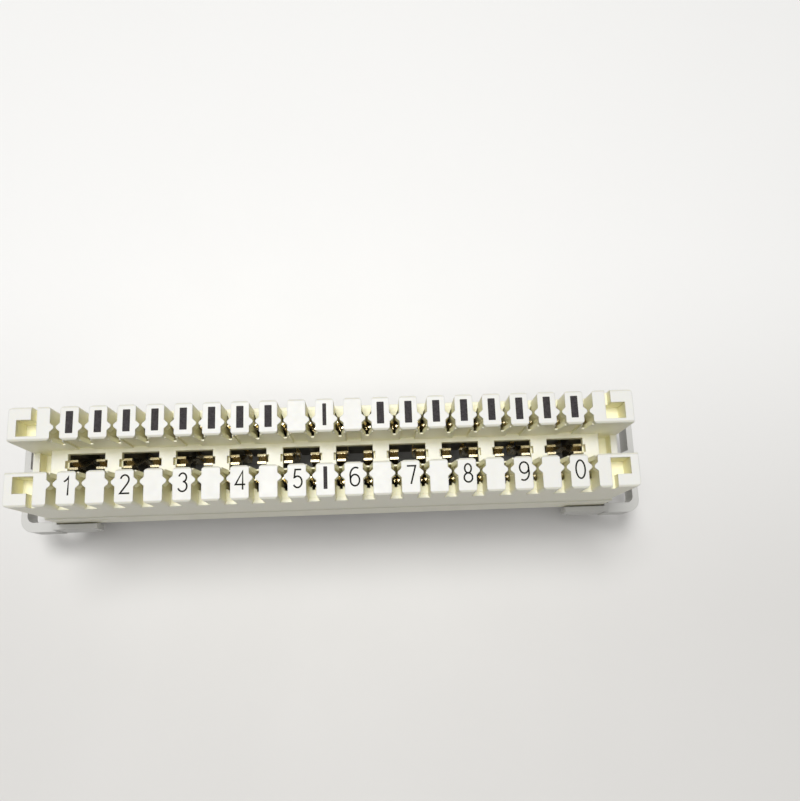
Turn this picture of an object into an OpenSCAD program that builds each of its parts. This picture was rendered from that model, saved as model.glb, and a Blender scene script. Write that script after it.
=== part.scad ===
// Ten-pair punch down wiring block with disconnection contacts, for a back-mount frame.
// One front housing, one rear base and a fork contact for every wire slot.
// Origin: centre of the mounting plane, where the end blocks meet the frame.
// +X runs along the block, +Y to the hook side, +Z to the front face. Millimetres.

/* [Pairs] */
// Number of wire pairs
pairs = 10; // [6:1:14]
// Distance between neighbouring wire slots
slot_pitch = 5.25; // [5:0.05:6.5]

/* [Housing] */
// Height of the front face above the mounting plane
face_z = 36; // [34:0.5:42]
// Width over the two rows
housing_w = 18.6; // [18.2:0.1:21]
// Length of a block across its row
block_l = 6.4; // [6.2:0.1:7]
// Depth of the channel between the rows
channel_d = 10.5; // [9.5:0.1:12]
// Thickness of the channel floor
floor_t = 1.5; // [1.2:0.1:2.5]
// Distance from the last wire slot to the end of the housing
end_l = 8.625; // [8.4:0.025:12]
// Chamfer along the long edges of the front face
face_chamfer = 0.35; // [0.1:0.05:0.6]
// How far the skirt at the foot of the side walls stands out
skirt_step = 0.25; // [0.1:0.05:0.5]
// Height of the skirt above the base
skirt_h = 9.6; // [6:0.1:12]

/* [Wire slots] */
// Width of a wire slot
slot_w = 1.84; // [1.6:0.02:2.2]
// Distance from the outer edge of a row to the nibs and the contact
nib_in = 4; // [3.7:0.05:4.2]
// Gap between the two nibs that hold a wire
nib_gap = 0.45; // [0.3:0.05:0.7]
// Radius of a nib's round tip
nib_r = 0.5; // [0.4:0.05:0.6]
// Length of a nib along the slot's wall
nib_l = 1.7; // [1.4:0.1:2]
// Height of the nibs below the front face
nib_h = 2.4; // [1.5:0.1:3]
// Depth of the slot floor at the outer edge
slot_d = 6.8; // [6.2:0.1:8]
// How much the slot floor rises towards the contact
slot_rise = 0.3; // [0.1:0.1:0.6]
// Width of the throat where a slot narrows at its floor, on both sides of the contact
throat_w = 0.6; // [0.4:0.05:0.9]
// Depth at which a slot starts to narrow
throat_top = 1.6; // [1.2:0.1:2.2]
// Depth of the throat between a slot and the channel
throat_d = 5.5; // [4.8:0.1:6.2]
// Length of that throat
throat_l = 0.9; // [0.7:0.05:1]
// Thickness of the lip that closes the throat below its floor
throat_lip = 0.3; // [0.25:0.05:0.4]
// Radius of a block's corners
block_r = 0.8; // [0.5:0.05:1]

/* [Channel] */
// Length of a plug opening in the channel floor
opening_l = 8.2; // [7.6:0.1:8.6]
// Width of a plug opening
opening_w = 1.5; // [1.2:0.05:2]
// Length of the hole in the middle of a plug opening
hole_l = 3.1; // [2.6:0.1:3.4]
// Width of that hole and of the notches for the contact tips
hole_w = 4.2; // [3.8:0.1:4.6]
// Width of the guide recess in the channel walls at each pair
guide_w = 2.9; // [2.4:0.1:3.2]
// Depth of the guide recess
guide_d = 0.4; // [0.2:0.05:0.5]
// Distance from the front face down to the top of a guide recess
guide_top = 1.3; // [1:0.1:2]

/* [Ears] */
// Length of an ear pocket
pocket_l = 3.75; // [3:0.05:4.2]
// Width of an ear pocket
pocket_w = 3.1; // [2.4:0.1:3.4]
// Depth of an ear pocket
pocket_d = 5; // [3:0.5:8]
// Wall between an ear pocket and the end of the housing
pocket_end = 1.55; // [1:0.05:2]
// Wall between an ear pocket and the channel
pocket_wall = 0.85; // [0.6:0.05:1.2]
// Width of the groove from an ear pocket to the outer side
groove_w = 1.1; // [0.8:0.05:1.4]
// Depth of that groove
groove_d = 2.5; // [1.5:0.1:4]
// Depth of the end wall's top edge below the front face
end_wall_d = 12.8; // [12:0.1:15]
// Thickness of the end wall
end_wall_t = 1.35; // [1:0.05:2]
// Length of the recess behind the end wall
recess_l = 3.1; // [2:0.1:3.6]
// Depth of that recess below the end wall's top edge
recess_d = 3.5; // [2:0.1:6]
// Radius of the ears' outer corners
ear_r = 0.8; // [0.4:0.1:1.2]

/* [Contacts] */
// Thickness of the contact sheet
sheet_t = 0.45; // [0.35:0.05:0.55]
// Width of the fork across the two tines
fork_w = 2.7; // [2.4:0.1:2.9]
// Width of the cut between the tines
fork_cut = 0.35; // [0.25:0.05:0.45]
// Depth of the fork tips below the front face
fork_d = 6; // [5.6:0.1:6.6]
// Height of the fork
fork_h = 7; // [6.4:0.1:7.4]
// Width of the contact's spring strip
strip_w = 1.7; // [1.4:0.1:1.9]
// Height of the web between the tip and the fork of a contact
web_h = 4.5; // [3.5:0.1:4.6]
// Clearance around a contact in its chamber
contact_gap = 0.3; // [0.2:0.05:0.4]
// Height of the flat pads where two contacts meet
pad_h = 1.5; // [1:0.1:2]
// Height of the flared tips that lead a plug in
flare_h = 2.6; // [1.8:0.1:3]
// Opening between the flared tips of two contacts
flare = 1.5; // [1.2:0.1:2]

/* [Base] */
// Height of the base panel's rear face above the mounting plane
panel_z = 3.3; // [2.5:0.1:4]
// Thickness of the base panel
panel_t = 2.5; // [2:0.1:3.2]
// Width of the base over the end blocks
base_w = 21.9; // [21.7:0.1:24]
// Length of an end block
block_x = 7.75; // [7.7:0.05:10]
// Height of an end block
block_h = 8; // [7:0.1:10]
// Length of a tab slot
tab_l = 4.45; // [4.2:0.05:5]
// Width of a tab slot
tab_w = 15.4; // [14:0.1:16.4]
// Wall on the inner side of a tab slot
tab_wall = 1.65; // [1.2:0.05:2]
// Clearance between the housing and the end blocks
seat_gap = 0.3; // [0.1:0.05:0.5]

/* [Loops] */
// Reach of a cable loop beyond its end block
loop_l = 7.5; // [6.5:0.1:12]
// Depth of a loop from rear to front
loop_h = 5.6; // [4.5:0.1:7]
// Width over a loop
loop_w = 22.3; // [22:0.1:25]
// Thickness of a loop's outer bar
loop_bar = 1.3; // [1:0.05:1.8]
// Thickness of a loop's side bars
loop_side = 2.1; // [1.5:0.1:2.6]
// Outer corner radius of a loop
loop_r = 2.7; // [1.5:0.1:3.5]
// Gap between a loop's two hooks
loop_gap = 0.9; // [0.5:0.1:1.6]
// How far the hooks turn into the loop
hook_in = 2; // [1.2:0.1:2.6]
// Opening of the loop's mouth on the outside
mouth_w = 4.4; // [3.5:0.1:6]

/* [Wire hooks] */
// How far the T hooks stand out from the panel's edge
tee_out = 2.6; // [2:0.1:3.5]
// Width of a T hook's head
tee_w = 4.4; // [3.6:0.1:4.6]
// Thickness of a T hook's head
tee_t = 0.8; // [0.6:0.05:1.1]
// Width of a T hook's stem
tee_stem = 1.1; // [0.8:0.05:1.6]
// Curve radius of a T hook's head
tee_r = 3.6; // [3:0.1:6]
// Height of the T hooks
tee_h = 2; // [1.2:0.1:2.4]
// Diameter of the pegs behind the outer hooks
peg_d = 2.6; // [2:0.1:3]
// Height of the pegs
peg_h = 4; // [2.5:0.1:5]

/* [Hood] */
// Length of the cable hood
hood_l = 22; // [18:0.5:24]
// Height of the hood behind the panel
hood_h = 13.5; // [8:0.5:15]
// Width of the hood's rim
rim_w = 2.4; // [1.6:0.1:3]
// Thickness of the hood's walls
hood_t = 1.2; // [0.8:0.1:1.8]
// Reach of the hood's side walls at the rim
hood_reach = 5.2; // [4:0.1:7]
// Inner corner radius of the hood
hood_r = 3; // [1.5:0.1:4]

/* [Hidden] */
slots = 2 * pairs;
eps = 0.01;
over = 1;
arc_fn = 48;
block_full = 0.05;
guide_r = 0.7;
slit_reach = 1.75;
neck_reach = 1;
tongue_reach = 2.9;
stem_room = 1.3;
chamber_room = 1.4;
twist_h = 2;
block_over = 1.25;

row_end = (slots - 1) / 2 * slot_pitch;
housing_x = row_end + end_l;
channel_w = housing_w - 2 * block_l;
contact_y = housing_w / 2 - nib_in;
notch_l = strip_w + contact_gap;
floor_z = face_z - channel_d;
base_top = panel_z + panel_t;
chamber_top = floor_z - floor_t;
chamber_l = strip_w + 2 * contact_gap;
chamber_end = contact_y + sheet_t + chamber_room;
cavity_start = channel_w / 2 + throat_l;
tongue_root = contact_y + tongue_reach;
neck_y = contact_y + neck_reach;
web_foot = chamber_top - web_h;
end_wall_z = face_z - end_wall_d;
pocket_x = housing_x - pocket_end - pocket_l;
pocket_y = channel_w / 2 + pocket_wall;
skirt_z = base_top + skirt_h;

block_in = housing_x - block_x + block_over;
block_out = block_in + block_x;
loop_end = block_out + loop_l;
panel_lo = -housing_w / 2;
panel_hi = base_w / 2 - tee_out;
tab_x = block_in + tab_wall;
hood_y = -0.4;

function slot_x(i) = (i - (slots + 1) / 2) * slot_pitch;
function hook_x(i) = (i - pairs) * slot_pitch;
function contact_name(row, i) = str(row, "_contact_", i < 10 ? "0" : "", i);

function along(a, b) = (b - a) / norm(b - a);
function from_way(p, i) = i > 0 ? along(p[i - 1], p[i]) : along(p[0], p[1]);
function to_way(p, i) = i < len(p) - 1 ? along(p[i], p[i + 1]) : from_way(p, i);
function mid_way(p, i) = along([0, 0], from_way(p, i) + to_way(p, i));
function shift_at(p, i) = [-mid_way(p, i)[1], mid_way(p, i)[0]] * sheet_t / 2 / (mid_way(p, i) * from_way(p, i));

// The contact sheet seen from the side, bent along the points p.
module path2d(p) {
    polygon(concat(
        [for (i = [0:len(p) - 1]) p[i] + shift_at(p, i)],
        [for (i = [len(p) - 1:-1:0]) p[i] - shift_at(p, i)]
    ));
}

// A strip of width w between two points, with round ends that may be a little fuller than it.
module bar2d(a, b, w, fuller = 0) {
    d = b - a;
    translate(a) rotate(atan2(d[1], d[0])) translate([0, -w / 2]) square([norm(d), w]);
    for (end = [a, b]) translate(end) circle(d = w + fuller, $fn = 24);
}

// A rectangle from corner a to corner b, with four round corners.
module round_rect(a, b, r) {
    translate(a + [r, 0]) square([b[0] - a[0] - 2 * r, b[1] - a[1]]);
    translate(a + [0, r]) square([b[0] - a[0], b[1] - a[1] - 2 * r]);
    for (x = [a[0] + r, b[0] - r], y = [a[1] + r, b[1] - r]) translate([x, y]) circle(r, $fn = arc_fn);
}

module both_ends() {
    children();
    mirror([1, 0, 0]) children();
}

module both_sides() {
    children();
    mirror([0, 1, 0]) children();
}

// Extrudes an outline drawn in X and Z along Y, centred on Y = 0.
module along_y(length) {
    rotate([90, 0, 0]) translate([0, 0, -length / 2]) linear_extrude(length) children();
}

// Extrudes an outline drawn in Y and Z along X, centred on X = 0.
module along_x(length) {
    rotate([90, 0, 90]) translate([0, 0, -length / 2]) linear_extrude(length) children();
}

// ---- Front housing ----

module housing_section() {
    w = housing_w / 2;
    c = channel_w / 2;
    polygon([
        [-w - skirt_step, base_top], [-w - skirt_step, skirt_z], [-w, skirt_z + skirt_step],
        [-w, face_z - face_chamfer], [-w + face_chamfer, face_z],
        [-c - face_chamfer, face_z], [-c, face_z - face_chamfer], [-c, floor_z],
        [c, floor_z], [c, face_z - face_chamfer], [c + face_chamfer, face_z],
        [w - face_chamfer, face_z], [w, face_z - face_chamfer],
        [w, skirt_z + skirt_step], [w + skirt_step, skirt_z], [w + skirt_step, base_top]
    ]);
}

// Plan of a wire slot at the front face, with its two nibs and the blocks' round corners.
module slot_plan() {
    inner = channel_w / 2;
    mouth = housing_w / 2;
    difference() {
        translate([-slot_w / 2, inner - over]) square([slot_w, mouth - inner + 2 * over]);
        nib_plan();
    }
    corner_plan(mouth, 1);
    corner_plan(inner, -1);
}

// Blunt wedges on both walls of the slot, with round tips.
module nib_plan() {
    for (side = [-1, 1]) {
        translate([side * (nib_gap / 2 + nib_r), contact_y]) circle(nib_r, $fn = arc_fn);
        polygon([
            [side * (slot_w / 2 + eps), contact_y - nib_l / 2],
            [side * (nib_gap / 2 + 0.34 * nib_r), contact_y - 0.7 * nib_r],
            [side * (nib_gap / 2 + 0.34 * nib_r), contact_y + 0.7 * nib_r],
            [side * (slot_w / 2 + eps), contact_y + nib_l / 2]
        ]);
    }
}

// What rounds the corners of the two blocks beside a slot, at the wall y = edge that faces way.
module corner_plan(edge, way) {
    reach = block_r + over;
    for (side = [-1, 1]) difference() {
        translate([side * (slot_w + block_r - over) / 2, edge - way * (block_r - over) / 2])
            square([reach, reach], center = true);
        translate([side * (slot_w / 2 + block_r), edge - way * block_r]) circle(block_r + block_full, $fn = arc_fn);
    }
}

// The throat between a slot and the channel, wide at the top and narrow at the floor.
module throat_cut() {
    inner = channel_w / 2 - over;
    translate([0, cavity_start + eps, 0]) rotate([90, 0, 0]) linear_extrude(cavity_start + eps - inner) polygon([
        [-slot_w / 2, face_z - throat_top + eps], [-slot_w / 2, face_z - throat_top],
        [-throat_w / 2, face_z - throat_d], [throat_w / 2, face_z - throat_d],
        [slot_w / 2, face_z - throat_top], [slot_w / 2, face_z - throat_top + eps]
    ]);
}

// The room below the nibs, down to the slot floor.
module slot_room() {
    mouth = housing_w / 2;
    along_x(slot_w) polygon([
        [cavity_start, face_z - nib_h + eps], [cavity_start, face_z - slot_d + slot_rise],
        [mouth, face_z - slot_d], [mouth + over, face_z - slot_d],
        [mouth + over, face_z - nib_h + eps]
    ]);
}

// Plan of the cavity in the slot floor. Both ends narrow to a slit, or the outer end has a tongue.
module cavity_plan(tongue) {
    half = slot_w / 2;
    slit = throat_w / 2;
    lip_y = channel_w / 2 + throat_lip;
    outer_y = contact_y + slit_reach;
    polygon([
        [-slit, lip_y], [-slit, cavity_start], [-half, cavity_start + slit], [-half, neck_y],
        [-slit, neck_y + slit], [-slit, outer_y],
        [slit, outer_y], [slit, neck_y + slit],
        [half, neck_y], [half, cavity_start + slit], [slit, cavity_start], [slit, lip_y]
    ]);
    if (tongue) polygon([
        [-half, contact_y], [-half, tongue_root], [-slit, outer_y - slit],
        [slit, outer_y - slit], [half, tongue_root], [half, contact_y]
    ]);
}

// Everything that is cut away for one wire slot and its contact.
module slot_cut(tongue) {
    difference() {
        translate([0, 0, face_z - nib_h]) linear_extrude(nib_h + over) slot_plan();
        translate([-2 * slot_w, channel_w / 2 - 2 * over, face_z - nib_h - over])
            cube([4 * slot_w, throat_l + 2 * over, nib_h + over - throat_top]);
    }
    translate([0, 0, face_z - slot_d]) linear_extrude(slot_d - nib_h + eps) corner_plan(housing_w / 2, 1);
    throat_cut();
    slot_room();
    translate([0, 0, chamber_top - eps]) linear_extrude(face_z - throat_d - chamber_top + 2 * eps) cavity_plan(tongue);
    translate([0, contact_y, chamber_top - eps]) rotate(-45)
        translate([-fork_w / 2 - contact_gap, -sheet_t / 2 - contact_gap, 0])
            cube([fork_w + 2 * contact_gap, sheet_t + 2 * contact_gap, face_z - fork_d + contact_gap - chamber_top]);
}

// Room for one pair of contacts, open to the rear, with a shaft up to each fork.
module chamber_cut() {
    stem_start = contact_y - stem_room;
    translate([-chamber_l / 2, -chamber_end, base_top - over])
        cube([chamber_l, 2 * chamber_end, web_foot - base_top + over]);
    both_sides() translate([-chamber_l / 2, stem_start, web_foot - eps])
        cube([chamber_l, chamber_end - stem_start, chamber_top - web_foot + eps]);
    translate([-chamber_l / 2, -hole_w / 2, web_foot - eps])
        cube([chamber_l, hole_w, chamber_top - web_foot + eps]);
}

// The opening in the channel floor where a plug parts the contacts of one pair.
module opening_cut() {
    shaft_w = 2 * cavity_start;
    translate([0, 0, chamber_top - eps]) linear_extrude(floor_t + over) {
        square([opening_l, opening_w], center = true);
        square([slot_pitch + notch_l, hole_w], center = true);
    }
    translate([-hole_l / 2, -shaft_w / 2, base_top - over])
        cube([hole_l, shaft_w, chamber_top - base_top + over]);
}

// Shallow recess in both channel walls, below the face, that guides a plug.
module guide_cut() {
    w = channel_w + 2 * guide_d;
    half = guide_w / 2;
    top_z = face_z - guide_top;
    along_y(w) polygon([
        [-half, floor_z], [-half, top_z - guide_r], [-half + guide_r / 4, top_z - guide_r / 3],
        [-half + guide_r, top_z], [half - guide_r, top_z], [half - guide_r / 4, top_z - guide_r / 3],
        [half, top_z - guide_r], [half, floor_z]
    ]);
}

// Pocket and groove of one ear.
module ear_cut() {
    translate([pocket_x, pocket_y, face_z - pocket_d]) cube([pocket_l, pocket_w, pocket_d + over]);
    translate([pocket_x, pocket_y + pocket_w - eps, face_z - groove_d])
        cube([groove_w, housing_w / 2, groove_d + over]);
    translate([housing_x - ear_r, housing_w / 2 - ear_r, skirt_z + skirt_step])
        difference() {
            cube([2 * ear_r, 2 * ear_r, face_z]);
            translate([0, 0, -over]) cylinder(r = ear_r, h = face_z + 2 * over, $fn = arc_fn);
        }
}

// The step between the ears: a lower end wall with a recess behind it.
module end_cut() {
    wall_x = housing_x - end_wall_t;
    translate([wall_x - recess_l, -channel_w / 2, end_wall_z])
        cube([recess_l + end_wall_t + over, channel_w, end_wall_d + over]);
    translate([wall_x - recess_l, -channel_w / 2, end_wall_z - recess_d])
        cube([recess_l, channel_w, recess_d + over]);
}

// Latch slit low in the side wall and the two windows over a tab slot.
module latch_cuts() {
    slit = [3.6, 0.8, 0.7];
    slit_at = [row_end - 2.9, housing_w / 2 + skirt_step - slit[1] / 2, base_top + 5.5];
    window = [1.5, 2, 3];
    both_sides() translate(slit_at) cube(slit);
    both_sides() translate([tab_x + 1.3, (tab_w / 2 - window[1]) / 2, base_top - over])
        cube(window + [0, 0, over]);
}

module front_housing() {
    color("ivory") difference() {
        along_x(2 * housing_x) housing_section();
        for (i = [1:slots]) translate([slot_x(i), 0, 0]) {
            slot_cut(true);
            rotate(180) slot_cut(false);
            chamber_cut();
        }
        for (i = [1:pairs]) translate([(i - (pairs + 1) / 2) * 2 * slot_pitch, 0, 0]) {
            opening_cut();
            guide_cut();
        }
        both_ends() {
            both_sides() ear_cut();
            end_cut();
            latch_cuts();
        }
    }
}

// ---- Contacts ----

// The forked blade that bites the wire, drawn in its own plane from its foot upwards.
module fork_outline() {
    tip = 0.45;
    cut_h = 0.7 * fork_h;
    end_d = 1.6 * fork_cut;
    difference() {
        translate([-fork_w / 2, 0]) square([fork_w, fork_h]);
        translate([-fork_cut / 2, fork_h - cut_h]) square([fork_cut, cut_h + over]);
        translate([0, fork_h - cut_h]) circle(d = end_d, $fn = 24);
        polygon([
            [-fork_cut / 2, fork_h - 2 * tip], [fork_cut / 2, fork_h - 2 * tip],
            [fork_cut / 2 + tip, fork_h + eps], [-fork_cut / 2 - tip, fork_h + eps]
        ]);
        for (side = [-1, 1]) polygon([
            [side * fork_w / 2 - side * tip, fork_h + eps], [side * (fork_w / 2 + eps), fork_h + eps],
            [side * (fork_w / 2 + eps), fork_h - 2 * tip]
        ]);
    }
}

// The bent strip seen from the side: stem, U bend, spring arm, flat pad and flared tip.
module strip_outline() {
    half = sheet_t / 2;
    bend_r = 1.5;
    arm_h = 6;
    bend_z = base_top + contact_gap + bend_r + half;
    arm_y = contact_y - 2 * bend_r;
    tip_z = floor_z - contact_gap - half;
    pad_top = tip_z - flare_h;
    pad_foot = pad_top - pad_h;
    stem_top = face_z - fork_d - fork_h - twist_h;
    translate([contact_y - half, bend_z]) square([sheet_t, stem_top - bend_z]);
    difference() {
        translate([contact_y - bend_r, bend_z]) circle(bend_r + half, $fn = arc_fn);
        translate([contact_y - bend_r, bend_z]) circle(bend_r - half, $fn = arc_fn);
        translate([contact_y - 2 * bend_r - sheet_t, bend_z]) square([2 * bend_r + 2 * sheet_t, 2 * bend_r]);
    }
    path2d([[arm_y, bend_z], [arm_y, pad_foot - arm_h], [half, pad_foot], [half, pad_top], [flare / 2, tip_z]]);
}

module contact() {
    fork_z = face_z - fork_d - fork_h;
    color("darkkhaki") {
        translate([0, contact_y, fork_z]) rotate([90, 0, -45]) translate([0, 0, -sheet_t / 2])
            linear_extrude(sheet_t) fork_outline();
        translate([0, contact_y, fork_z - twist_h]) linear_extrude(twist_h, twist = 45, slices = 6)
            square([strip_w, sheet_t], center = true);
        along_x(strip_w) strip_outline();
    }
}

module upper_contact(i) {
    translate([slot_x(i), 0, 0]) contact();
}

module lower_contact(i) {
    translate([slot_x(i), 0, 0]) rotate(180) contact();
}

// ---- Rear base ----

module panel_section() {
    edge_r = 1.6;
    ledge = 0.4;
    groove = 0.35;
    step_y = 1.1;
    ridge_y = -1.4;
    difference() {
        union() {
            translate([panel_lo + edge_r, panel_z]) square([panel_hi - panel_lo - edge_r, panel_t]);
            translate([panel_lo, panel_z + edge_r]) square([edge_r + eps, panel_t - edge_r]);
            translate([panel_lo + edge_r, panel_z + edge_r]) circle(edge_r, $fn = arc_fn);
            translate([panel_lo + edge_r, panel_z - ledge])
                square([ridge_y - panel_lo - edge_r, ledge + eps]);
            translate([ridge_y - 0.8, panel_z - ledge - 0.15]) square([0.8, ledge + 0.15 + eps]);
        }
        translate([step_y, panel_z - over]) square([groove, over + 0.6]);
        translate([panel_lo, base_top]) square([3 * edge_r, 2 * edge_r]);
    }
}

module tee_plan() {
    difference() {
        translate([0, base_w / 2 - tee_r]) circle(tee_r, $fn = arc_fn);
        translate([0, base_w / 2 - tee_r]) circle(tee_r - tee_t, $fn = arc_fn);
        translate([-tee_r - over, -over]) square([2 * (tee_r + over), base_w / 2 - tee_r + over]);
        for (side = [-1, 1]) translate([side * (tee_w / 2 + tee_r), base_w / 2]) square(2 * tee_r, center = true);
    }
    translate([-tee_stem / 2, panel_hi - eps]) square([tee_stem, tee_out - tee_t / 2]);
    polygon([[-tee_stem / 2 - 0.5, panel_hi - eps], [tee_stem / 2 + 0.5, panel_hi - eps],
        [tee_stem / 2 - eps, panel_hi + 0.6], [-tee_stem / 2 + eps, panel_hi + 0.6]]);
}

module tees() {
    translate([0, 0, panel_z]) linear_extrude(tee_h) {
        for (i = [1:slots - 1]) translate([hook_x(i), 0]) tee_plan();
        both_ends() intersection() {
            translate([pairs * slot_pitch, 0]) tee_plan();
            translate([0, -over]) square([block_in + eps, base_w]);
        }
    }
}

// Round-tipped pegs behind the hooks on both sides of the hood.
module pegs() {
    peg_y = panel_hi - peg_d / 2 - 0.2;
    for (i = [1:slots - 1])
        if (abs(hook_x(i)) > hood_l / 2 + 1)
            translate([hook_x(i), peg_y, panel_z]) mirror([0, 0, 1]) {
                translate([0, 0, -0.5]) cylinder(d = peg_d, h = peg_h - peg_d / 2 + 0.5, $fn = arc_fn);
                translate([0, 0, peg_h - peg_d / 2]) sphere(d = peg_d, $fn = arc_fn);
            }
}

// Cable hood: a wall across the panel with a wide rim, two side walls and a buttress.
module hood() {
    rim_z = panel_z - hood_h;
    foot_y = panel_lo + 1.6;
    translate([0, 0, rim_z]) linear_extrude(1.2) hood_plan(rim_w);
    translate([0, 0, rim_z]) linear_extrude(hood_h + eps) hood_plan(hood_t);
    both_ends() translate([hood_l / 2 - hood_t, 0, 0]) rotate([90, 0, 90]) linear_extrude(hood_t) polygon([
        [hood_y - hood_t, panel_z + eps], [hood_y - hood_t, rim_z], [hood_y - hood_reach, rim_z],
        [foot_y, panel_z - 0.5], [foot_y, panel_z + eps]
    ]);
    translate([-1.05, 0, 0]) rotate([90, 0, 90]) linear_extrude(2.1) polygon([
        [hood_y - eps, panel_z + eps], [hood_y - eps, rim_z + 1.2], [hood_y + 0.8, rim_z + 1.2],
        [hood_y + 5, panel_z - 1.2], [hood_y + 5, panel_z + eps]
    ]);
}

// Plan of the hood's back wall of thickness t, with its two round inner corners.
module hood_plan(t) {
    side = hood_l / 2 - hood_t;
    translate([-hood_l / 2, hood_y - t]) square([hood_l, t]);
    both_ends() difference() {
        translate([side - hood_r, hood_y - t - hood_r]) square([hood_r + eps, hood_r + eps]);
        translate([side - hood_r, hood_y - t - hood_r]) circle(hood_r, $fn = arc_fn);
    }
}

// Plan of a cable loop: a ring with a mouth between two hooks that turn inwards.
module loop_plan() {
    y = loop_w / 2;
    bar_x = loop_end - loop_bar / 2;
    bend_y = mouth_w / 2;
    hook_full = 0.03;
    tip = [bar_x - hook_in - loop_bar / 2, loop_gap / 2 + loop_bar / 2 + hook_full];
    difference() {
        round_rect([block_out - loop_r - over, -y], [loop_end, y], loop_r);
        round_rect([block_out - loop_r - over, -y + loop_side], [loop_end - loop_bar, y - loop_side],
            loop_r - loop_bar);
        translate([block_out - 2 * loop_r, -y - over]) square([2 * loop_r - 0.5, 2 * y + 2 * over]);
        translate([block_out, -bend_y]) square([2 * loop_l, mouth_w]);
    }
    both_sides() bar2d([bar_x - hook_full, bend_y], tip, loop_bar, 2 * hook_full);
}

// End block with its tab slot, the seat for the housing and a foot at the lower side.
module end_block() {
    seat_x = housing_x + seat_gap;
    seat_y = housing_w / 2 + skirt_step + seat_gap;
    difference() {
        union() {
            translate([block_in, -base_w / 2, 0]) cube([block_x, base_w, block_h]);
            translate([block_in - 1.8, -base_w / 2, panel_z]) cube([1.8 + eps, base_w / 2 - seat_y, block_h - panel_z]);
        }
        translate([block_in - over, -seat_y, base_top]) cube([seat_x - block_in + over, 2 * seat_y, block_h]);
        translate([tab_x, -tab_w / 2, -over]) cube([tab_l, tab_w, block_h + 2 * over]);
    }
    linear_extrude(loop_h) loop_plan();
}

// Label recess, mould rings and the shallow pockets beside the buttress.
module panel_marks() {
    label_x = 32.4;
    label_l = 22;
    label_w = 6;
    mark_y = -5.2;
    mark_z = panel_z - 0.4 - over;
    translate([label_x, mark_y, mark_z]) linear_extrude(over + 0.2)
        bar2d([-(label_l - label_w) / 2, 0], [(label_l - label_w) / 2, 0], label_w);
    for (x = [17.3, -20.8, -42.9]) translate([x, mark_y, mark_z]) linear_extrude(over + 0.15) difference() {
        circle(d = 4.8, $fn = arc_fn);
        circle(d = 4.2, $fn = arc_fn);
    }
    for (side = [-1, 1]) translate([side * 2, 2, panel_z - over]) linear_extrude(over + 0.6)
        bar2d([0, -0.8], [0, 0.8], 1.5);
}

module rear_base() {
    color("lightgray") {
        difference() {
            along_x(2 * block_in + 2 * eps) panel_section();
            panel_marks();
        }
        tees();
        pegs();
        hood();
        both_ends() end_block();
    }
}

front_housing();
rear_base();
for (i = [1:slots]) upper_contact(i);
for (i = [1:slots]) lower_contact(i);
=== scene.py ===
import math

import bmesh
import bpy
from mathutils import Euler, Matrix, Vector


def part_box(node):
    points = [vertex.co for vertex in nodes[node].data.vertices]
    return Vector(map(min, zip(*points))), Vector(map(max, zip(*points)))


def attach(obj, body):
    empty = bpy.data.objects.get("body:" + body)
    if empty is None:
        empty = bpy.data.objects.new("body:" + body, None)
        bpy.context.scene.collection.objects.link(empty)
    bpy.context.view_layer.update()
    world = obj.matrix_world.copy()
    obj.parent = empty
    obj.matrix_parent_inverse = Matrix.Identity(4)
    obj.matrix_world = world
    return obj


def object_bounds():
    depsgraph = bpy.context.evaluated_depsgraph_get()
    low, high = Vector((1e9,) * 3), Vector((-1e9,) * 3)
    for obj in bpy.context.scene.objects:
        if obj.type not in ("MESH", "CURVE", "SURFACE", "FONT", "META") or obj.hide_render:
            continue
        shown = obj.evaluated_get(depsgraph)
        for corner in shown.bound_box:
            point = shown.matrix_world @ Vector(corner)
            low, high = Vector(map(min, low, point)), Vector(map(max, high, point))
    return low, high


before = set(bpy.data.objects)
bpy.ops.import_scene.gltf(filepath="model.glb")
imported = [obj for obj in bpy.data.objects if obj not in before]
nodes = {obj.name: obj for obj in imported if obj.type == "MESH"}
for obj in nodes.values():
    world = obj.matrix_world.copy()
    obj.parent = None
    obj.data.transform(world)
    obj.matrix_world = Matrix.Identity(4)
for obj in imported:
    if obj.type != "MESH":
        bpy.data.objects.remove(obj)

cadLow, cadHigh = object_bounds()
mm = 0.001

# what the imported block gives
slotCount = len([name for name in nodes if name.startswith("upper_contact")])
contactNames = [name for name in nodes if "_contact_" in name]
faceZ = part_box("front_housing")[1].z


def middleX(name):
    low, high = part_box(name)
    return (low.x + high.x) / 2


slotX = [middleX(f"upper_contact_{i + 1:02d}") for i in range(slotCount)]
blockX = [(slotX[i] + slotX[i + 1]) / 2 for i in range(slotCount - 1)]  # blocks between two slots


# helpers for the node materials

def newMaterial(name):
    made = bpy.data.materials.new(name)
    made.use_nodes = True
    tree = made.node_tree
    return made, tree, tree.nodes["Principled BSDF"]


def addNode(tree, kind, **values):
    made = tree.nodes.new(kind)
    for key, value in values.items():
        setattr(made, key, value)
    return made


def objectPlace(tree):
    return addNode(tree, "ShaderNodeTexCoord").outputs["Object"]


def parts(tree, vector):
    split = addNode(tree, "ShaderNodeSeparateXYZ")
    tree.links.new(vector, split.inputs["Vector"])
    return split.outputs


def noise(tree, place, scale, detail=3.0, rough=0.5, stretch=None):
    if stretch:
        moved = addNode(tree, "ShaderNodeMapping")
        moved.inputs["Scale"].default_value = stretch
        tree.links.new(place, moved.inputs["Vector"])
        place = moved.outputs["Vector"]
    made = addNode(tree, "ShaderNodeTexNoise")
    made.inputs["Scale"].default_value = scale
    made.inputs["Detail"].default_value = detail
    made.inputs["Roughness"].default_value = rough
    tree.links.new(place, made.inputs["Vector"])
    return made.outputs["Fac"]


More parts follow.
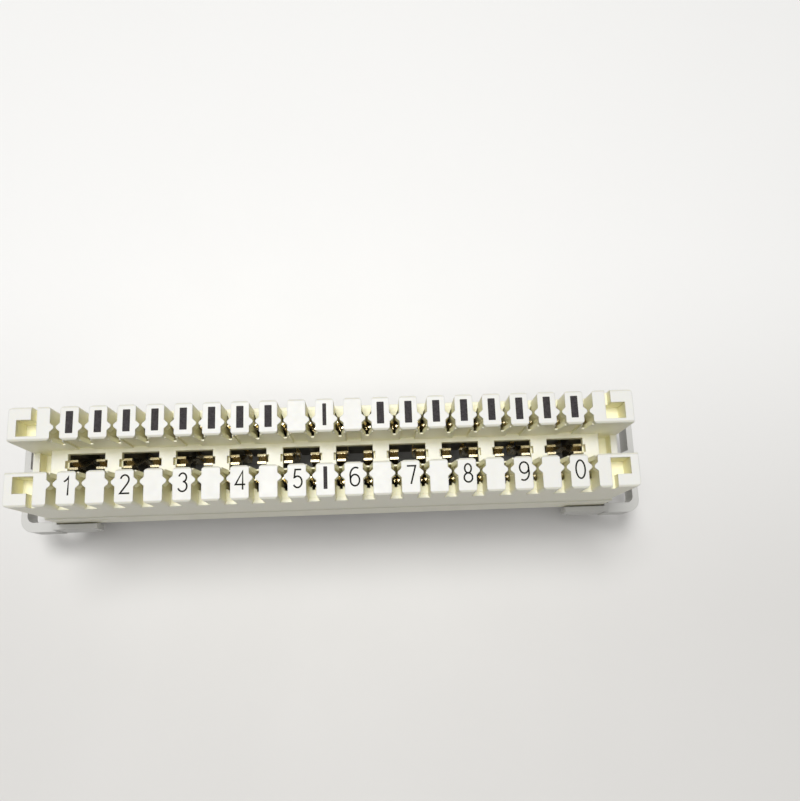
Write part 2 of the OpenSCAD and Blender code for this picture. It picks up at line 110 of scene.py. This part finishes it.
def ramp(tree, value, low, high, **values):
    # 0 at low, rising to 1 at high
    made = addNode(tree, "ShaderNodeMapRange", **values)
    made.inputs["From Min"].default_value = low
    made.inputs["From Max"].default_value = high
    tree.links.new(value, made.inputs["Value"])
    return made


def spread(tree, value, low=0, high=1):
    # the middle of a noise, stretched to low and high
    made = ramp(tree, value, 0.3, 0.7)
    made.inputs["To Min"].default_value = low
    made.inputs["To Max"].default_value = high
    return made.outputs["Result"]


def openness(tree, reach, low=0.35, high=0.95):
    # 1 on open faces, falling to 0 deep in slots and pockets
    made = addNode(tree, "ShaderNodeAmbientOcclusion", samples=6)
    made.inputs["Distance"].default_value = reach
    return ramp(tree, made.outputs["AO"], low, high).outputs["Result"]


def faceUp(tree, low=0.55, high=0.95):
    # 1 where a face looks to the front of the block
    normal = addNode(tree, "ShaderNodeTexCoord").outputs["Normal"]
    return ramp(tree, parts(tree, normal)["Z"], low, high).outputs["Result"]


def compute(tree, kind, first, second):
    made = addNode(tree, "ShaderNodeMath", operation=kind)
    for i, value in enumerate((first, second)):
        if isinstance(value, float):
            made.inputs[i].default_value = value
        else:
            tree.links.new(value, made.inputs[i])
    return made.outputs["Value"]


def withinBox(tree, place, halfX, halfY, topZ):
    # 1 inside a box about the middle, below topZ
    x, y, z = parts(tree, place)
    inX = compute(tree, "LESS_THAN", compute(tree, "ABSOLUTE", x, 0.0), halfX)
    inY = compute(tree, "LESS_THAN", compute(tree, "ABSOLUTE", y, 0.0), halfY)
    inZ = compute(tree, "LESS_THAN", z, topZ)
    return compute(tree, "MULTIPLY", compute(tree, "MULTIPLY", inX, inY), inZ)


def blend(tree, value, first, second, **values):
    # first where the value is 0, second where it is 1
    made = addNode(tree, "ShaderNodeMix", data_type="RGBA", **values)
    for socket, colour in (("A", first), ("B", second)):
        if isinstance(colour, tuple):
            made.inputs[socket].default_value = (*colour, 1)
        else:
            tree.links.new(colour, made.inputs[socket])
    if isinstance(value, float):
        made.inputs["Factor"].default_value = value
    else:
        tree.links.new(value, made.inputs["Factor"])
    return made.outputs["Result"]


def relief(tree, value, depth, edge=None):
    # small bumps, on edges rounded by the given radius
    made = addNode(tree, "ShaderNodeBump")
    made.inputs["Strength"].default_value = 1.0
    made.inputs["Distance"].default_value = depth
    tree.links.new(value, made.inputs["Height"])
    if edge:
        soft = addNode(tree, "ShaderNodeBevel", samples=4)
        soft.inputs["Radius"].default_value = edge
        tree.links.new(soft.outputs["Normal"], made.inputs["Normal"])
    return made.outputs["Normal"]


def feed(tree, shader, **values):
    # each value goes to the shader's socket of that name
    for key, value in values.items():
        tree.links.new(value, shader.inputs[key])


# cream plastic of the housing
ivory = {
    # front is painted paler than side: painted light, standing in for the lamps washing out the
    # faces that look to the front
    "front": (0.77, 0.765, 0.725),
    "frontFlow": (0.755, 0.748, 0.70),
    "side": (0.88, 0.86, 0.72),
    # deep is painted bounce light: a brighter, warmer yellow that recesses take on
    "deep": (0.95, 0.915, 0.65),
    "deepReach": 4 * mm,
    # painted shade: the plastic is painted dark inside the contact chambers in place of their deep
    # shadow
    "chamber": (0.14, 0.125, 0.085),
    "chamberDrop": 12.1 * mm,  # from the front face to the top of the contact chambers
    "chamberPast": 1.6 * mm,  # from the middle of the last slot to the chamber's end
    "chamberHalf": 7.3 * mm,
    "flowScale": 60,
    "flowStretch": (0.4, 1, 1),
    "roughness": (0.40, 0.50),
    "roughScale": 900,
    "grain": 0.003 * mm,
    "grainScale": 5200,
    "edge": 0.22 * mm,
    "glow": 0.12,
    "glowReach": 0.8 * mm,
    "glowColour": (1.0, 0.8, 0.4),
    "bend": 1.5,
}


def makeIvoryPlastic():
    # front faces painted paler as painted light, recesses painted a warmer yellow as painted bounce
    # light, and the contact chambers painted dark as painted shade
    made, tree, shader = newMaterial("ivoryPlastic")
    place = objectPlace(tree)
    flow = spread(tree, noise(tree, place, ivory["flowScale"], 3, 0.6, ivory["flowStretch"]))
    front = blend(tree, flow, ivory["front"], ivory["frontFlow"])
    # painted light: faces looking to the front take the paler front colour, the others the side
    # colour
    paintedFaceLight = blend(tree, faceUp(tree), ivory["side"], front)
    # painted bounce light: recesses found by ambient occlusion take the deep colour
    paintedBounceWarm = blend(tree, openness(tree, ivory["deepReach"]), ivory["deep"], paintedFaceLight)
    # painted shade: the box below the tops of the contact chambers is painted dark
    chamberEnd = slotX[-1] + ivory["chamberPast"]
    paintedShadeMask = withinBox(tree, place, chamberEnd, ivory["chamberHalf"], faceZ - ivory["chamberDrop"])
    withPaintedShade = blend(tree, paintedShadeMask, paintedBounceWarm, ivory["chamber"])
    rough = spread(tree, noise(tree, place, ivory["roughScale"]), *ivory["roughness"])
    normal = relief(tree, noise(tree, place, ivory["grainScale"], 2), ivory["grain"], ivory["edge"])
    feed(tree, shader, **{"Base Color": withPaintedShade, "Roughness": rough, "Normal": normal})
    shader.inputs["Subsurface Weight"].default_value = ivory["glow"]
    shader.inputs["Subsurface Radius"].default_value = ivory["glowColour"]
    shader.inputs["Subsurface Scale"].default_value = ivory["glowReach"]
    shader.inputs["IOR"].default_value = ivory["bend"]
    return made


# grey plastic of the base
grey = {
    "colour": (0.60, 0.595, 0.57),
    "deeper": (0.56, 0.555, 0.53),
    "flowScale": 45,
    "flowStretch": (0.5, 1, 1),
    "roughness": (0.42, 0.56),
    "roughScale": 1400,
    "grain": 0.005 * mm,
    "grainScale": 4200,
    "edge": 0.18 * mm,
    "bend": 1.5,
}


def makeGreyPlastic():
    made, tree, shader = newMaterial("greyPlastic")
    place = objectPlace(tree)
    flow = spread(tree, noise(tree, place, grey["flowScale"], 3, 0.6, grey["flowStretch"]))
    colour = blend(tree, flow, grey["colour"], grey["deeper"])
    rough = spread(tree, noise(tree, place, grey["roughScale"]), *grey["roughness"])
    normal = relief(tree, noise(tree, place, grey["grainScale"], 3), grey["grain"], grey["edge"])
    feed(tree, shader, **{"Base Color": colour, "Roughness": rough, "Normal": normal})
    shader.inputs["IOR"].default_value = grey["bend"]
    return made


# rolled and brushed brass of the contacts
brass = {
    "colour": (0.90, 0.82, 0.60),
    "tarnish": (0.74, 0.62, 0.36),
    "stainScale": 500,
    "brushScale": 6000,
    "brushStretch": (1, 1, 0.08),
    "roughness": (0.20, 0.34),
    "grain": 0.002 * mm,
    "edge": 0.06 * mm,
}


def makeSpringBrass():
    made, tree, shader = newMaterial("springBrass")
    place = objectPlace(tree)
    stain = spread(tree, noise(tree, place, brass["stainScale"], 3))
    colour = blend(tree, stain, brass["colour"], brass["tarnish"])
    brushed = noise(tree, place, brass["brushScale"], 2, 0.5, brass["brushStretch"])
    rough = spread(tree, brushed, *brass["roughness"])
    normal = relief(tree, brushed, brass["grain"], brass["edge"])
    feed(tree, shader, **{"Base Color": colour, "Roughness": rough, "Normal": normal})
    shader.inputs["Metallic"].default_value = 1.0
    return made


# matt ink of the bars and digits
ink = {
    "digit": ((0.006, 0.006, 0.006), (0.014, 0.013, 0.013)),
    "bar": ((0.030, 0.026, 0.027), (0.062, 0.056, 0.058)),
    "coverScale": 2600,
    "roughness": (0.7, 0.85),
    "grain": 0.003 * mm,
    "shine": 0.2,
}


def makeInk(name, shades):
    made, tree, shader = newMaterial(name)
    cover = noise(tree, objectPlace(tree), ink["coverScale"], 3)
    colour = blend(tree, spread(tree, cover), *shades)
    rough = spread(tree, cover, *ink["roughness"])
    normal = relief(tree, cover, ink["grain"])
    feed(tree, shader, **{"Base Color": colour, "Roughness": rough, "Normal": normal})
    shader.inputs["Specular IOR Level"].default_value = ink["shine"]
    return made


def dress(name, finish):
    target = nodes[name]
    target.data.materials.clear()
    target.data.materials.append(finish)


dress("front_housing", makeIvoryPlastic())
dress("rear_base", makeGreyPlastic())
springBrass = makeSpringBrass()
for name in contactNames:
    dress(name, springBrass)
print("finishes on", len(nodes), "nodes")


# print on the block faces
printing = {
    "thick": 0.02 * mm,
    "sink": 0.005 * mm,
    "upperY": 6.2 * mm,
    "lowerY": -5.75 * mm,
    "shiftX": 0.15 * mm,
    "barLength": 4.2 * mm,
    "barWidth": 1.36 * mm,
    "thinWidth": 0.72 * mm,
    "barCorner": 0.10 * mm,
    "cornerSteps": 4,
    "digitHeight": 3.4 * mm,
    "stroke": 0.31 * mm,
    "sharpest": 0.45,  # limits how far a stroke's corner reaches out
}


def arc(x, y, wide, high, start, end, steps=16):
    turns = [math.radians(start + (end - start) * i / steps) for i in range(steps + 1)]
    return [(x + wide * math.cos(turn), y + high * math.sin(turn)) for turn in turns]


# strokes of each digit, one unit high and centred
digitStrokes = {
    "1": [[(-0.15, 0.24), (-0.03, 0.32), (0.05, 0.41), (0.09, 0.5), (0.07, -0.5)]],
    "2": [arc(0.0, 0.25, 0.22, 0.25, 170, -20) + [(0.14, 0.03), (-0.24, -0.49), (0.26, -0.49)]],
    "3": [arc(0.0, 0.26, 0.20, 0.24, 165, -80), arc(-0.01, -0.22, 0.24, 0.27, 85, -160)],
    "4": [[(0.13, -0.5), (0.13, 0.5), (-0.26, -0.22), (0.27, -0.22)]],
    "5": [[(0.20, 0.49), (-0.13, 0.49), (-0.18, 0.06)] + arc(-0.01, -0.18, 0.24, 0.31, 128, -150)],
    "6": [arc(0.06, 0.06, 0.31, 0.44, 62, 175) + arc(0.01, -0.19, 0.25, 0.31, 180, 540)[1:]],
    "7": [[(-0.24, 0.49), (0.23, 0.49), (-0.04, -0.5)]],
    "8": [arc(0.0, 0.25, 0.18, 0.25, 0, 360), arc(0.0, -0.25, 0.23, 0.25, 0, 360)],
    "9": [arc(-0.06, -0.06, 0.31, 0.44, 242, 355) + arc(-0.01, 0.19, 0.25, 0.31, 0, 360)[1:]],
    "0": [arc(0.0, 0.0, 0.25, 0.5, 0, 360, 32)],
}


def inkPrism(shape, outline):
    # a flat patch of ink on the face, as thick as the print
    low = [shape.verts.new((x, y, faceZ - printing["sink"])) for x, y in outline]
    high = [shape.verts.new((x, y, faceZ + printing["thick"])) for x, y in outline]
    shape.faces.new(high)
    shape.faces.new(low[::-1])
    for i in range(len(outline)):
        j = (i + 1) % len(outline)
        shape.faces.new((low[i], low[j], high[j], high[i]))


def inkStroke(shape, points, width):
    # a ribbon of ink along the points
    last = len(points) - 1
    under = faceZ - printing["sink"]
    over = faceZ + printing["thick"]
    rings = []
    for i, point in enumerate(points):
        before = (point - points[i - 1]).normalized() if i else (points[1] - point).normalized()
        after = (points[i + 1] - point).normalized() if i < last else before
        middle = (before + after).normalized()
        reach = width / 2 / max(printing["sharpest"], middle.dot(before))
        across = Vector((-middle.y, middle.x)) * reach
        left = point + across
        right = point - across
        corners = ((left, under), (right, under), (right, over), (left, over))
        rings.append([shape.verts.new((corner.x, corner.y, z)) for corner, z in corners])
    for first, second in zip(rings, rings[1:]):
        for i in range(4):
            j = (i + 1) % 4
            shape.faces.new((first[i], first[j], second[j], second[i]))
    shape.faces.new(rings[0][::-1])
    shape.faces.new(rings[-1])


def inkPiece(shape, name, finish):
    bmesh.ops.recalc_face_normals(shape, faces=shape.faces[:])
    mesh = bpy.data.meshes.new(name)
    shape.to_mesh(mesh)
    shape.free()
    mesh.materials.append(finish)
    piece = bpy.data.objects.new(name, mesh)
    bpy.context.scene.collection.objects.link(piece)
    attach(piece, "root")


def barOutline(x, y, width):
    # a bar with rounded corners
    radius = printing["barCorner"]
    steps = printing["cornerSteps"]
    points = []
    for cornerX, cornerY, start in ((1, 1, 0), (-1, 1, 90), (-1, -1, 180), (1, -1, 270)):
        centreX = x + cornerX * (width / 2 - radius)
        centreY = y + cornerY * (printing["barLength"] / 2 - radius)
        points += arc(centreX, centreY, radius, radius, start, start + 90, steps)
    return points


def printBars():
    # a bar on each upper block but the middle three, and thin ones on the middle block of both rows
    middle = len(blockX) // 2
    upperY = printing["upperY"]
    bars = [(x, upperY, printing["barWidth"]) for i, x in enumerate(blockX) if abs(i - middle) > 1]
    bars += [(blockX[middle], y, printing["thinWidth"]) for y in (upperY, printing["lowerY"])]
    shape = bmesh.new()
    for bar in bars:
        inkPrism(shape, barOutline(*bar))
    inkPiece(shape, "row_bars", makeInk("inkBar", ink["bar"]))
    return len(bars)


def printDigits():
    # the pairs are numbered 1 to 9 and 0, on every other lower block
    finish = makeInk("inkDigit", ink["digit"])
    pairCount = slotCount // 2
    for pair in range(pairCount):
        shape = bmesh.new()
        place = Vector((blockX[2 * pair] + printing["shiftX"], printing["lowerY"]))
        for stroke in digitStrokes[str((pair + 1) % 10)]:
            points = [place + Vector(point) * printing["digitHeight"] for point in stroke]
            inkStroke(shape, points, printing["stroke"])
        inkPiece(shape, f"digit_{pair + 1:02d}", finish)
    return pairCount


print("print on", printBars(), "bars and", printDigits(), "digits")


# floor, light and camera
studio = {
    "floorDrop": 0.2 * mm,
    "floorSize": 1.6,
    # painted light: the floor colour runs from darker near the front to lighter at the back
    "floorNearPaintedShade": (0.745, 0.732, 0.71),
    "floorFarPaintedLight": (0.935, 0.93, 0.915),
    "farStart": -0.04,
    "farEnd": 0.06,
    "mottle": (0.985, 1.0),
    "mottleScale": 6,
    "roughness": (0.6, 0.7),
    "roughScale": 40,
    "roomLight": (0.14, 0.139, 0.137),
    "roomSeen": (0.90, 0.90, 0.89),
    "keyPlace": (-0.08, 0.155, 0.85),
    "keySize": 0.28,
    "keyPower": 4.4,
    "frontPlace": (0.0, -0.07, 0.8),
    "frontSize": 0.4,
    "frontPower": 2.2,
}


def makeFloorFinish():
    # painted light: the table is painted darker near the front and lighter towards the back, where
    # the light falls brighter
    made, tree, shader = newMaterial("paleTable")
    place = objectPlace(tree)
    y = parts(tree, place)["Y"]
    paintedLightFade = ramp(tree, y, studio["farStart"], studio["farEnd"], interpolation_type="SMOOTHSTEP")
    colour = blend(tree, paintedLightFade.outputs["Result"], studio["floorNearPaintedShade"], studio["floorFarPaintedLight"])
    mottle = spread(tree, noise(tree, place, studio["mottleScale"], 3), *studio["mottle"])
    mottled = blend(tree, 1.0, colour, mottle, blend_type="MULTIPLY")
    rough = spread(tree, noise(tree, place, studio["roughScale"]), *studio["roughness"])
    feed(tree, shader, **{"Base Color": mottled, "Roughness": rough})
    return made


def makeFloor():
    size = studio["floorSize"]
    z = cadLow.z - studio["floorDrop"]
    corners = [(-size, -size, z), (size, -size, z), (size, size, z), (-size, size, z)]
    mesh = bpy.data.meshes.new("floor")
    mesh.from_pydata(corners, [], [(0, 1, 2, 3)])
    mesh.materials.append(makeFloorFinish())
    floor = bpy.data.objects.new("floor", mesh)
    bpy.context.scene.collection.objects.link(floor)


def addAreaLight(name, place, size, power):
    # a soft lamp that looks at the block
    data = bpy.data.lights.new(name, "AREA")
    data.energy = power
    data.size = size
    lamp = bpy.data.objects.new(name, data)
    bpy.context.scene.collection.objects.link(lamp)
    lamp.location = place
    lamp.rotation_euler = (-Vector(place)).to_track_quat("-Z", "Y").to_euler()


def makeWorld():
    # white where the camera sees the room, dimmer where the room lights the scene
    world = bpy.data.worlds.new("softRoom")
    world.use_nodes = True
    tree = world.node_tree
    ray = addNode(tree, "ShaderNodeLightPath")
    shown = blend(tree, ray.outputs["Is Camera Ray"], studio["roomLight"], studio["roomSeen"])
    tree.links.new(shown, tree.nodes["Background"].inputs["Color"])
    bpy.context.scene.world = world


bench = {
    "place": (8.793 * mm, -28.349 * mm, 191.924 * mm),
    "turn": (13.322, -1.514, -2.129),
    "lens": 38.25,
    "sensor": 36,
    "nearest": 5 * mm,
}


def makeCamera():
    data = bpy.data.cameras.new("bench")
    data.lens = bench["lens"]
    data.sensor_width = bench["sensor"]
    data.sensor_fit = "HORIZONTAL"
    data.clip_start = bench["nearest"]
    camera = bpy.data.objects.new("bench", data)
    bpy.context.scene.collection.objects.link(camera)
    camera.location = bench["place"]
    camera.rotation_euler = Euler([math.radians(angle) for angle in bench["turn"]], "XYZ")
    bpy.context.scene.camera = camera


makeFloor()
addAreaLight("key", studio["keyPlace"], studio["keySize"], studio["keyPower"])
addAreaLight("front", studio["frontPlace"], studio["frontSize"], studio["frontPower"])
makeWorld()
makeCamera()
bpy.context.scene.view_settings.view_transform = "Standard"
print("floor, light and camera set")
